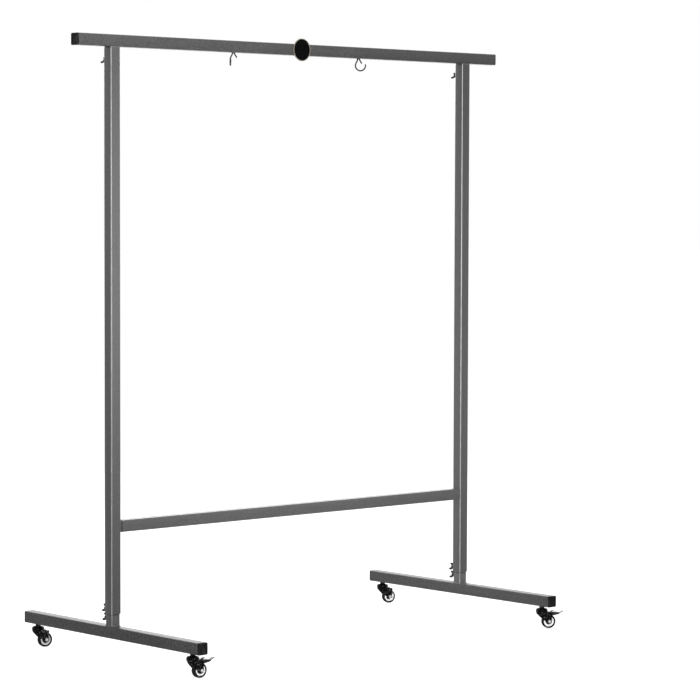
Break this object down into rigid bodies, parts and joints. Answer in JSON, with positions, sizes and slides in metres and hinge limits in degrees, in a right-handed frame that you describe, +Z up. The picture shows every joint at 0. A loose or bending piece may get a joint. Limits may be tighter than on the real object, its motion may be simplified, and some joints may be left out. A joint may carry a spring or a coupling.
{
  "type": "gong stand",
  "caption": "Rolling floor stand for a large gong: square-tube posts and crossbars on long feet with braked swivel casters, two wire hooks under the top bar.",
  "frame": {"origin": "on the floor, at the middle of the stand's footprint", "axes": "+X along the crossbars to the right as seen from the front, +Y along the feet to the back, +Z up"},
  "size_m": [1.934, 0.953, 2.1127],
  "materials": {
    "tube_steel": "dark grey powder coat",
    "cap_plastic": "black moulded",
    "bolt_black": "black coated",
    "hook_wire": "bright wire",
    "badge_black": "black face with a pale metal rim",
    "caster_zinc": "bright zinc plate",
    "caster_cup": "dark grey plated",
    "wheel_centre": "grey moulded",
    "wheel_tread": "black rubber"
  },
  "bodies": {
    "left_foot": {"foot_bar_left": "tube_steel", "foot_cap_front_left": "cap_plastic", "foot_cap_back_left": "cap_plastic", "foot_spigot_left": "tube_steel", "leg_tube_left": "tube_steel", "caster_stem_front_left": "caster_zinc", "caster_cup_front_left": "caster_cup", "caster_stem_back_left": "caster_zinc", "caster_cup_back_left": "caster_cup"},
    "right_foot": {"foot_bar_right": "tube_steel", "foot_cap_front_right": "cap_plastic", "foot_cap_back_right": "cap_plastic", "foot_spigot_right": "tube_steel", "leg_tube_right": "tube_steel", "caster_stem_front_right": "caster_zinc", "caster_cup_front_right": "caster_cup", "caster_stem_back_right": "caster_zinc", "caster_cup_back_right": "caster_cup"},
    "frame": {"post_left": "tube_steel", "post_right": "tube_steel", "lower_crossbar": "tube_steel", "crossbar_stub_left": "tube_steel", "crossbar_stub_right": "tube_steel"},
    "top_beam": {"top_crossbar": "tube_steel", "crossbar_cap_left": "cap_plastic", "crossbar_cap_right": "cap_plastic", "top_spigot_left": "tube_steel", "top_spigot_right": "tube_steel", "gong_hook_left": "hook_wire", "gong_hook_right": "hook_wire", "round_badge": "badge_black"},
    "wing_bolt_top_left": {"wing_bolt_top_left": "bolt_black"},
    "wing_bolt_post_left": {"wing_bolt_post_left": "bolt_black"},
    "wing_bolt_leg_left": {"wing_bolt_leg_left": "bolt_black"},
    "wing_bolt_top_right": {"wing_bolt_top_right": "bolt_black"},
    "wing_bolt_post_right": {"wing_bolt_post_right": "bolt_black"},
    "wing_bolt_leg_right": {"wing_bolt_leg_right": "bolt_black"},
    "swivel_front_left": {"caster_fork_front_left": "caster_zinc", "caster_balls_front_left": "caster_zinc", "caster_axle_front_left": "caster_zinc"},
    "wheel_front_left": {"wheel_hub_front_left": "wheel_centre", "wheel_tread_front_left": "wheel_tread"},
    "brake_lever_front_left": {"brake_lever_front_left": "caster_zinc"},
    "swivel_back_left": {"caster_fork_back_left": "caster_zinc", "caster_balls_back_left": "caster_zinc", "caster_axle_back_left": "caster_zinc"},
    "wheel_back_left": {"wheel_hub_back_left": "wheel_centre", "wheel_tread_back_left": "wheel_tread"},
    "swivel_front_right": {"caster_fork_front_right": "caster_zinc", "caster_balls_front_right": "caster_zinc", "caster_axle_front_right": "caster_zinc"},
    "wheel_front_right": {"wheel_hub_front_right": "wheel_centre", "wheel_tread_front_right": "wheel_tread"},
    "brake_lever_front_right": {"brake_lever_front_right": "caster_zinc"},
    "swivel_back_right": {"caster_fork_back_right": "caster_zinc", "caster_balls_back_right": "caster_zinc", "caster_axle_back_right": "caster_zinc"},
    "wheel_back_right": {"wheel_hub_back_right": "wheel_centre", "wheel_tread_back_right": "wheel_tread"}
  },
  "joints": [
    {"name": "frame_height", "type": "slide", "parent": "left_foot", "child": "frame", "axis": [0, 0, 1], "range_m": [0, 0.2]},
    {"name": "right_leg_height", "type": "slide", "parent": "frame", "child": "right_foot", "axis": [0, 0, -1], "range_m": [0, 0.2]},
    {"name": "top_beam_lift", "type": "slide", "parent": "frame", "child": "top_beam", "axis": [0, 0, 1], "range_m": [0, 0.13]},
    {"name": "wing_bolt_top_left_turn", "type": "hinge", "parent": "frame", "child": "wing_bolt_top_left", "pos_m": [-0.813, 0.02, 2.01], "axis": [0, 1, 0], "continuous": true},
    {"name": "wing_bolt_post_left_turn", "type": "hinge", "parent": "frame", "child": "wing_bolt_post_left", "pos_m": [-0.813, 0.02, 0.1795], "axis": [0, 1, 0], "continuous": true},
    {"name": "wing_bolt_leg_left_turn", "type": "hinge", "parent": "left_foot", "child": "wing_bolt_leg_left", "pos_m": [-0.813, 0.0175, 0.1495], "axis": [0, 1, 0], "continuous": true},
    {"name": "wing_bolt_top_right_turn", "type": "hinge", "parent": "frame", "child": "wing_bolt_top_right", "pos_m": [0.813, 0.02, 2.01], "axis": [0, 1, 0], "continuous": true},
    {"name": "wing_bolt_post_right_turn", "type": "hinge", "parent": "frame", "child": "wing_bolt_post_right", "pos_m": [0.813, 0.02, 0.1795], "axis": [0, 1, 0], "continuous": true},
    {"name": "wing_bolt_leg_right_turn", "type": "hinge", "parent": "right_foot", "child": "wing_bolt_leg_right", "pos_m": [0.813, 0.0175, 0.1495], "axis": [0, 1, 0], "continuous": true},
    {"name": "swivel_turn_front_left", "type": "hinge", "parent": "left_foot", "child": "swivel_front_left", "pos_m": [-0.813, -0.424, 0.064], "axis": [0, 0, 1], "continuous": true},
    {"name": "wheel_roll_front_left", "type": "hinge", "parent": "swivel_front_left", "child": "wheel_front_left", "pos_m": [-0.78809, -0.42618, 0.025], "axis": [0.0872, 0.9962, 0], "continuous": true},
    {"name": "brake_lever_press_front_left", "type": "hinge", "parent": "swivel_front_left", "child": "brake_lever_front_left", "pos_m": [-0.78252, -0.42667, 0.051], "axis": [0.0872, 0.9962, 0], "range_deg": [0, 12]},
    {"name": "swivel_turn_back_left", "type": "hinge", "parent": "left_foot", "child": "swivel_back_left", "pos_m": [-0.813, 0.424, 0.064], "axis": [0, 0, 1], "continuous": true},
    {"name": "wheel_roll_back_left", "type": "hinge", "parent": "swivel_back_left", "child": "wheel_back_left", "pos_m": [-0.78855, 0.4188, 0.025], "axis": [0.2079, 0.9781, 0], "continuous": true},
    {"name": "swivel_turn_front_right", "type": "hinge", "parent": "right_foot", "child": "swivel_front_right", "pos_m": [0.813, -0.424, 0.064], "axis": [0, 0, 1], "continuous": true},
    {"name": "wheel_roll_front_right", "type": "hinge", "parent": "swivel_front_right", "child": "wheel_front_right", "pos_m": [0.83465, -0.4365, 0.025], "axis": [0.5, 0.866, 0], "continuous": true},
    {"name": "brake_lever_press_front_right", "type": "hinge", "parent": "swivel_front_right", "child": "brake_lever_front_right", "pos_m": [0.8395, -0.4393, 0.051], "axis": [0.5, 0.866, 0], "range_deg": [0, 12]},
    {"name": "swivel_turn_back_right", "type": "hinge", "parent": "right_foot", "child": "swivel_back_right", "pos_m": [0.813, 0.424, 0.064], "axis": [0, 0, 1], "continuous": true},
    {"name": "wheel_roll_back_right", "type": "hinge", "parent": "swivel_back_right", "child": "wheel_back_right", "pos_m": [0.83649, 0.41545, 0.025], "axis": [0.342, 0.9397, 0], "continuous": true}
  ],
  "couplings": [
    {"joint": "right_leg_height", "follows": "frame_height", "ratio": 1}
  ]
}
